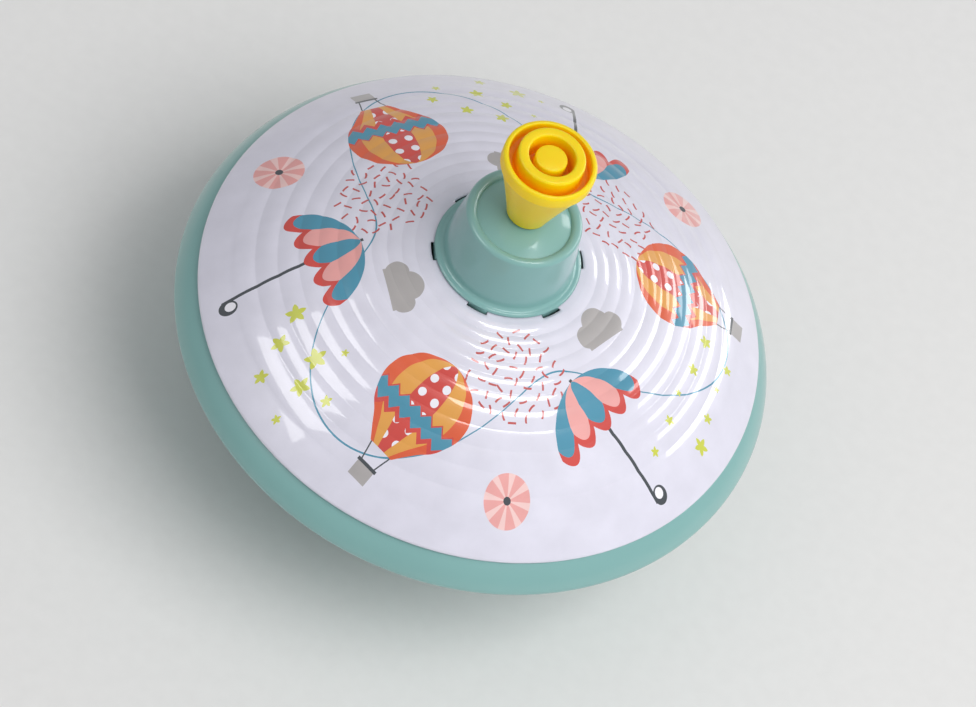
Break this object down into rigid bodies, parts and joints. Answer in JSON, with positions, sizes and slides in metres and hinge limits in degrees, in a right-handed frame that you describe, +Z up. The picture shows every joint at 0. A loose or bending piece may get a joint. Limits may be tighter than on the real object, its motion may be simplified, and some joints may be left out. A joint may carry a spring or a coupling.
{
  "type": "pump-action spinning top",
  "caption": "Tin spinning top with a rippled, printed dome clinched to a painted bowl, a central collar and a plastic knob that pumps a twisted strip through a slotted drive disc.",
  "frame": {"origin": "the point of the tip, on the spin axis, at the lowest point of the top as it stands upright", "axes": "+Z up the spin axis from the tip to the knob; +X and +Y square to it, with one collar tab 26 degrees from +X towards +Y"},
  "size_m": [0.1268, 0.1268, 0.0985],
  "materials": {
    "printed_tin": "white lacquer with printed motifs under gloss varnish",
    "mint_paint": "gloss mint green stove enamel",
    "yellow_plastic": "glossy moulded yellow",
    "bare_steel": "pressed and turned steel, lightly oiled",
    "plain_tin": "unpainted rolled tinplate"
  },
  "bodies": {
    "tin_body": {"upper_shell": "printed_tin", "lower_shell": "mint_paint", "collar": "mint_paint", "clutch_seat": "bare_steel", "guide_tube": "plain_tin", "foot_plate": "bare_steel", "foot_peg": "yellow_plastic", "tip_pin": "bare_steel"},
    "driver": {"drive_disc": "bare_steel"},
    "stop": {"stop_washer": "bare_steel"},
    "spindle": {"twisted_rod": "bare_steel", "knob": "yellow_plastic"}
  },
  "joints": [
    {"name": "freewheel", "type": "hinge", "parent": "tin_body", "child": "driver", "pos_m": [0, 0, 0], "axis": [0, 0, 1], "continuous": true},
    {"name": "pump_slide", "type": "slide", "parent": "driver", "child": "stop", "axis": [0, 0, 1], "range_m": [0, 0.052]},
    {"name": "screw_turn", "type": "hinge", "parent": "stop", "child": "spindle", "pos_m": [0, 0, 0], "axis": [0, 0, 1], "range_deg": [-5, 725]}
  ],
  "couplings": [
    {"joint": "screw_turn", "follows": "pump_slide", "rad_per_m": 241.66}
  ]
}
